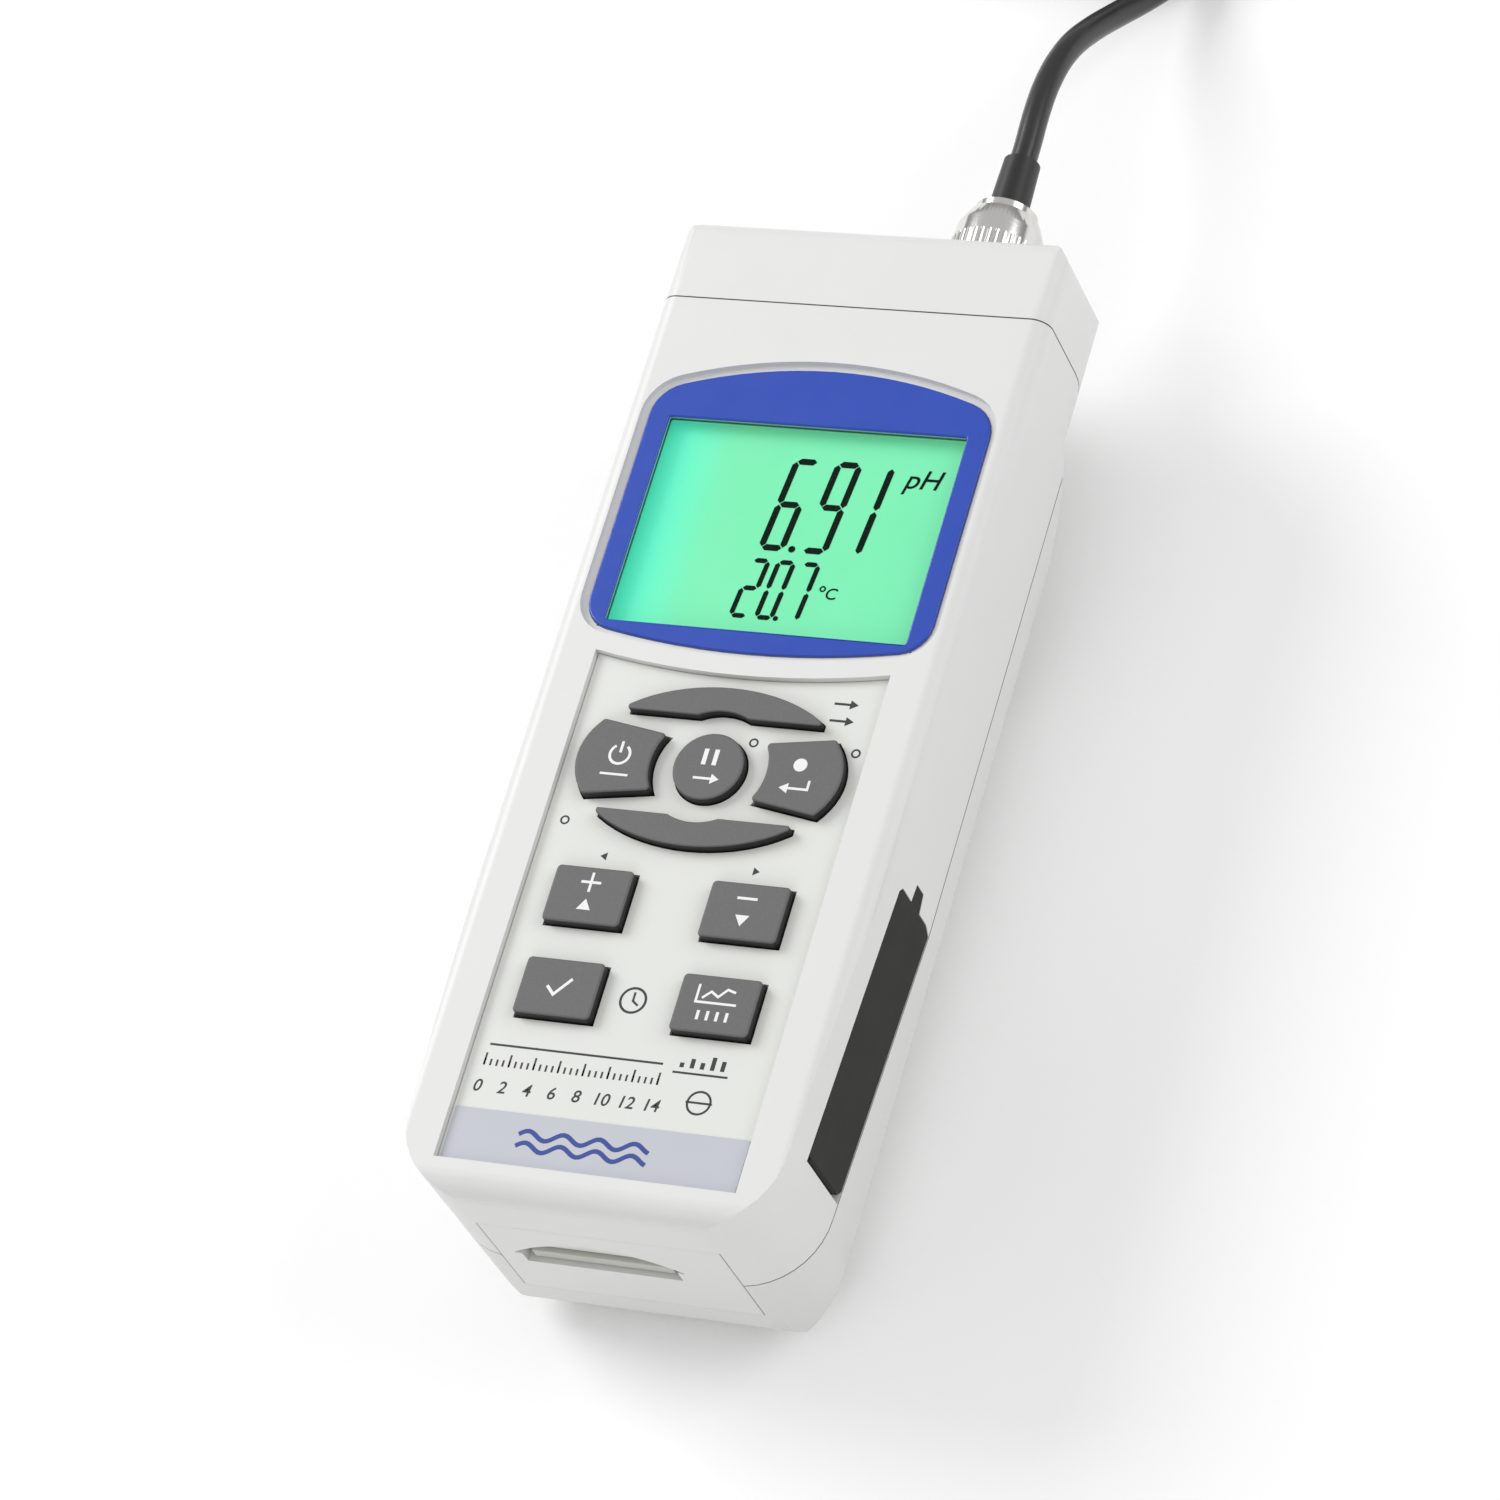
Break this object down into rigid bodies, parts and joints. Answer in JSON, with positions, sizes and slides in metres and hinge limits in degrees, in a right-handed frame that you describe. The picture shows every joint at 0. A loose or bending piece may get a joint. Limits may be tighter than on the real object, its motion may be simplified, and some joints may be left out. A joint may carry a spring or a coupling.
{
  "type": "handheld pH meter",
  "caption": "Handheld pH meter with a memory-card logger, lying on its back, with green display, rubber keys and its electrode on a coiled lead.",
  "frame": {"origin": "bottom centre of the meter's box, without the lead, with the meter lying on its back", "axes": "+X to the right of the keypad, +Y from the card end towards the sockets, +Z out of the display"},
  "size_m": [0.0857, 0.444, 0.0456],
  "materials": {
    "case": "fine satin texture",
    "case_rear": "fine satin texture",
    "surround_blue": "printed blue, glossy",
    "clear_pane": "clear",
    "display": "green display with dark figures",
    "white_plastic": "plain",
    "panel": "printed film",
    "strip": "printed film",
    "key_rubber": "matt silicone",
    "board": "solder mask",
    "black_plastic": "moulded",
    "nickel": "bright nickel plate",
    "steel": "zinc plated",
    "gold": "gold plated",
    "brass": "turned",
    "button_red": "moulded",
    "flap_rubber": "soft matt",
    "card": "moulded",
    "cell_wrap": "printed sleeve",
    "lead_rubber": "satin jacket",
    "probe_body": "dark epoxy tube",
    "bulb_glass": "clear",
    "bottle": "translucent"
  },
  "bodies": {
    "case": {"front_shell": "case", "rear_shell": "case_rear", "socket_cap": "case", "card_end_plate": "case", "display_surround": "surround_blue", "display_pane": "clear_pane", "display_glass": "display", "display_light": "white_plastic", "display_holder": "white_plastic", "keypad_plate": "panel", "label_strip": "strip", "key_mat": "key_rubber", "key_board": "board", "main_board": "board", "board_parts": "black_plastic", "board_spacers": "nickel", "buzzer": "black_plastic", "electrode_socket": "nickel", "socket_nut": "nickel", "socket_contact": "gold", "temperature_jack": "black_plastic", "serial_jack": "black_plastic", "power_jack": "black_plastic", "card_socket": "steel", "battery_cells": "cell_wrap", "battery_contacts": "steel", "tripod_insert": "brass", "case_screws": "steel"},
    "key_power_body": {"key_power": "key_rubber"},
    "key_hold_body": {"key_hold": "key_rubber"},
    "key_record_body": {"key_record": "key_rubber"},
    "key_arc_upper_body": {"key_arc_upper": "key_rubber"},
    "key_arc_lower_body": {"key_arc_lower": "key_rubber"},
    "key_up_body": {"key_up": "key_rubber"},
    "key_down_body": {"key_down": "key_rubber"},
    "key_set_body": {"key_set": "key_rubber"},
    "key_logger_body": {"key_logger": "key_rubber"},
    "reset": {"reset_button": "button_red"},
    "flap": {"side_flap": "flap_rubber"},
    "card": {"memory_card": "card"},
    "door": {"battery_door": "case_rear", "door_screws": "steel", "stand_pin": "steel"},
    "stand": {"kickstand": "case_rear"},
    "lead": {"plug_body": "nickel", "plug_pin": "gold", "plug_boot": "lead_rubber", "lead_run": "lead_rubber", "lead_coil": "lead_rubber", "lead_tail": "lead_rubber", "coil_tie": "black_plastic", "probe_boot": "lead_rubber", "probe_head": "black_plastic", "probe_tube": "probe_body", "probe_bulb": "bulb_glass"},
    "collar": {"plug_collar": "nickel"},
    "bottle": {"probe_bottle": "bottle"}
  },
  "joints": [
    {"name": "key_power_press", "type": "slide", "parent": "case", "child": "key_power_body", "axis": [0, 0, -1], "range_m": [0, 0.0008], "stiffness_N_per_m": 1500},
    {"name": "key_hold_press", "type": "slide", "parent": "case", "child": "key_hold_body", "axis": [0, 0, -1], "range_m": [0, 0.0008], "stiffness_N_per_m": 1500},
    {"name": "key_record_press", "type": "slide", "parent": "case", "child": "key_record_body", "axis": [0, 0, -1], "range_m": [0, 0.0008], "stiffness_N_per_m": 1500},
    {"name": "key_arc_upper_press", "type": "slide", "parent": "case", "child": "key_arc_upper_body", "axis": [0, 0, -1], "range_m": [0, 0.0008], "stiffness_N_per_m": 1500},
    {"name": "key_arc_lower_press", "type": "slide", "parent": "case", "child": "key_arc_lower_body", "axis": [0, 0, -1], "range_m": [0, 0.0008], "stiffness_N_per_m": 1500},
    {"name": "key_up_press", "type": "slide", "parent": "case", "child": "key_up_body", "axis": [0, 0, -1], "range_m": [0, 0.0008], "stiffness_N_per_m": 1500},
    {"name": "key_down_press", "type": "slide", "parent": "case", "child": "key_down_body", "axis": [0, 0, -1], "range_m": [0, 0.0008], "stiffness_N_per_m": 1500},
    {"name": "key_set_press", "type": "slide", "parent": "case", "child": "key_set_body", "axis": [0, 0, -1], "range_m": [0, 0.0008], "stiffness_N_per_m": 1500},
    {"name": "key_logger_press", "type": "slide", "parent": "case", "child": "key_logger_body", "axis": [0, 0, -1], "range_m": [0, 0.0008], "stiffness_N_per_m": 1500},
    {"name": "reset_press", "type": "slide", "parent": "case", "child": "reset", "axis": [-1, 0, 0], "range_m": [0, 0.0006], "stiffness_N_per_m": 1000},
    {"name": "flap_swing", "type": "hinge", "parent": "case", "child": "flap", "pos_m": [0.03134, -0.0776, 0.03025], "axis": [0, 0, -1], "range_deg": [0, 110]},
    {"name": "card_pull", "type": "slide", "parent": "case", "child": "card", "axis": [0, -1, 0], "range_m": [0, 0.022]},
    {"name": "door_lift", "type": "slide", "parent": "case", "child": "door", "axis": [0, 0, -1], "range_m": [0, 0.02]},
    {"name": "stand_swing", "type": "hinge", "parent": "door", "child": "stand", "pos_m": [0, 0.004, 0.0013], "axis": [1, 0, 0], "range_deg": [0, 60]},
    {"name": "plug_pull", "type": "slide", "parent": "case", "child": "lead", "axis": [0, 1, 0], "range_m": [0, 0.016]},
    {"name": "collar_turn", "type": "hinge", "parent": "lead", "child": "collar", "pos_m": [0.0134, 0.083, 0.0275], "axis": [0, 1, 0], "range_deg": [0, 90]},
    {"name": "bottle_pull", "type": "slide", "parent": "lead", "child": "bottle", "axis": [0, 1, 0], "range_m": [0, 0.02]}
  ]
}
